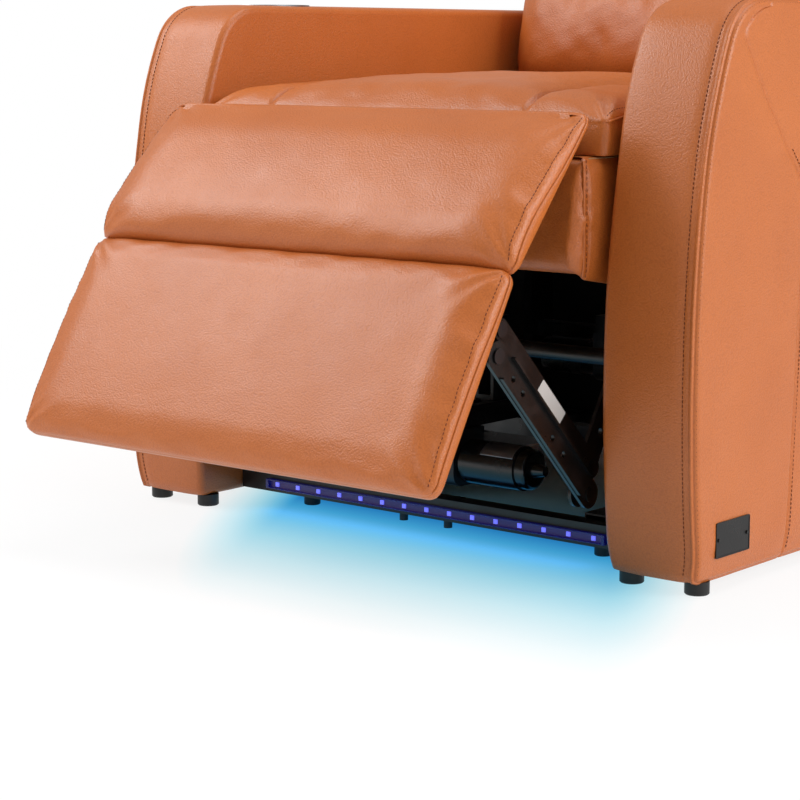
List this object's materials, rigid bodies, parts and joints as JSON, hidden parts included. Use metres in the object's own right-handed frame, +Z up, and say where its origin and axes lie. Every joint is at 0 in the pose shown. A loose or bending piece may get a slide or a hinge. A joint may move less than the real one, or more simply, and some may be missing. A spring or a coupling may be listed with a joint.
{
  "type": "cinema recliner seat",
  "caption": "Power recliner seat with padded arms, cup wells, reclining back, tilting headrest, folding footrest on a steel linkage and a light strip under the front.",
  "frame": {"origin": "on the floor under the middle of the chair's box at rest, on the centre plane between the arms", "axes": "+Z up, the sitter faces -Y, +X to the right of a viewer who looks at the front"},
  "size_m": [0.8204, 1.1545, 1.1078],
  "materials": {
    "cognac_leather": "satin, fine pebble grain",
    "padded_leather": "satin leather over foam",
    "plywood": "unfinished birch plywood",
    "black_lining": "matte non-woven",
    "black_steel": "black satin powder coat",
    "bright_steel": "zinc-plated",
    "cup_steel": "brushed",
    "black_plastic": "moulded, matte",
    "motor_black": "gloss black paint",
    "badge_black": "black with a light rim, bare",
    "clear_plastic": "clear extrusion",
    "led_board": "pinkish circuit board",
    "led_diode": "blue-violet light",
    "webbing": "woven elastic"
  },
  "bodies": {
    "base": {"arm_boxes": "plywood", "arm_feet": "black_plastic", "arm_linings": "black_lining", "rear_lining": "black_lining", "left_arm_cover": "padded_leather", "right_arm_cover": "padded_leather", "cup_holders": "cup_steel", "badge_plate": "badge_black", "control_panel": "black_plastic", "base_rails": "black_steel", "cross_bars": "black_steel", "mechanism_feet": "black_plastic", "mechanism_uprights": "black_steel", "light_board": "led_board", "light_channel": "clear_plastic", "light_diodes": "led_diode", "seat_plates": "black_steel", "base_pivot_pins": "bright_steel", "seat_frame": "plywood", "seat_straps": "webbing", "seat_apron": "padded_leather", "seat_cushion": "padded_leather", "flap_hinge_lugs": "black_steel", "leg_track": "black_steel", "back_track": "black_steel", "lead_screws": "bright_steel", "drive_tubes": "black_steel", "leg_gearbox": "black_plastic", "leg_motor": "motor_black", "back_gearbox": "black_plastic", "back_motor": "motor_black"},
    "flap": {"flap_board": "plywood", "flap_cushion": "padded_leather", "flap_brackets": "black_steel", "flap_hinge_leaves": "bright_steel"},
    "ottoman": {"ottoman_board": "plywood", "ottoman_cushion": "padded_leather", "ottoman_hinge_leaves": "bright_steel", "board_brackets": "black_steel", "bracket_pins": "bright_steel"},
    "carrier": {"carrier_links": "black_steel", "carrier_pins": "bright_steel", "torque_tube": "black_steel"},
    "main_links": {"main_links": "black_steel"},
    "upper_links": {"upper_links": "black_steel"},
    "leg_carriage": {"leg_carriage": "black_plastic"},
    "back_carriage": {"back_carriage": "black_plastic"},
    "backrest": {"back_shaft": "black_steel", "back_brackets": "black_steel", "back_frame": "plywood", "back_shell": "cognac_leather", "lumbar_cushion": "padded_leather", "upper_back_cushion": "padded_leather", "headrest_lugs": "black_steel"},
    "headrest": {"headrest_arms": "black_steel", "headrest_board": "plywood", "headrest_cushion": "padded_leather"},
    "button_1": {"button_1": "black_plastic"},
    "button_2": {"button_2": "black_plastic"},
    "button_3": {"button_3": "black_plastic"}
  },
  "joints": [
    {"name": "footrest_hinge", "type": "hinge", "parent": "base", "child": "flap", "pos_m": [0, -0.3068, 0.474], "axis": [-1, 0, 0], "range_deg": [-30, 55]},
    {"name": "ottoman_hinge", "type": "hinge", "parent": "flap", "child": "ottoman", "pos_m": [0, -0.43521, 0.33238], "axis": [-1, 0, 0], "range_deg": [-1.55, 2.8]},
    {"name": "carrier_pivot", "type": "hinge", "parent": "base", "child": "carrier", "pos_m": [0, -0.1508, 0.315], "axis": [-1, 0, 0], "range_deg": [-30.3, 55.51]},
    {"name": "main_link_pivot", "type": "hinge", "parent": "carrier", "child": "main_links", "pos_m": [0, -0.2808, 0.0897], "axis": [-1, 0, 0], "range_deg": [-55.01, 30.03]},
    {"name": "upper_link_pivot", "type": "hinge", "parent": "carrier", "child": "upper_links", "pos_m": [0, -0.2656, 0.115], "axis": [-1, 0, 0], "range_deg": [-55.04, 30.05]},
    {"name": "leg_drive_slide", "type": "slide", "parent": "base", "child": "leg_carriage", "axis": [0, -1, 0], "range_m": [-0.0543, 0.0994]},
    {"name": "backrest_pivot", "type": "hinge", "parent": "base", "child": "backrest", "pos_m": [0, 0.3312, 0.33], "axis": [-1, 0, 0], "range_deg": [0, 35]},
    {"name": "back_drive_slide", "type": "slide", "parent": "base", "child": "back_carriage", "axis": [0, -1, 0], "range_m": [0, 0.0485]},
    {"name": "headrest_hinge", "type": "hinge", "parent": "backrest", "child": "headrest", "pos_m": [0, 0.42588, 0.95774], "axis": [1, 0, 0], "range_deg": [0, 40]},
    {"name": "button_1_press", "type": "slide", "parent": "base", "child": "button_1", "axis": [1, 0, 0], "range_m": [0, 0.0015], "stiffness_N_per_m": 400},
    {"name": "button_2_press", "type": "slide", "parent": "base", "child": "button_2", "axis": [1, 0, 0], "range_m": [0, 0.0015], "stiffness_N_per_m": 400},
    {"name": "button_3_press", "type": "slide", "parent": "base", "child": "button_3", "axis": [1, 0, 0], "range_m": [0, 0.0015], "stiffness_N_per_m": 400}
  ],
  "couplings": [
    {"joint": "ottoman_hinge", "follows": "footrest_hinge", "ratio": 0.05},
    {"joint": "carrier_pivot", "follows": "footrest_hinge", "ratio": 1.0084},
    {"joint": "main_link_pivot", "follows": "footrest_hinge", "ratio": -0.9992},
    {"joint": "upper_link_pivot", "follows": "footrest_hinge", "ratio": -0.9999},
    {"joint": "leg_drive_slide", "follows": "footrest_hinge", "m_per_rad": 0.10335},
    {"joint": "back_drive_slide", "follows": "backrest_pivot", "m_per_rad": 0.07905}
  ]
}
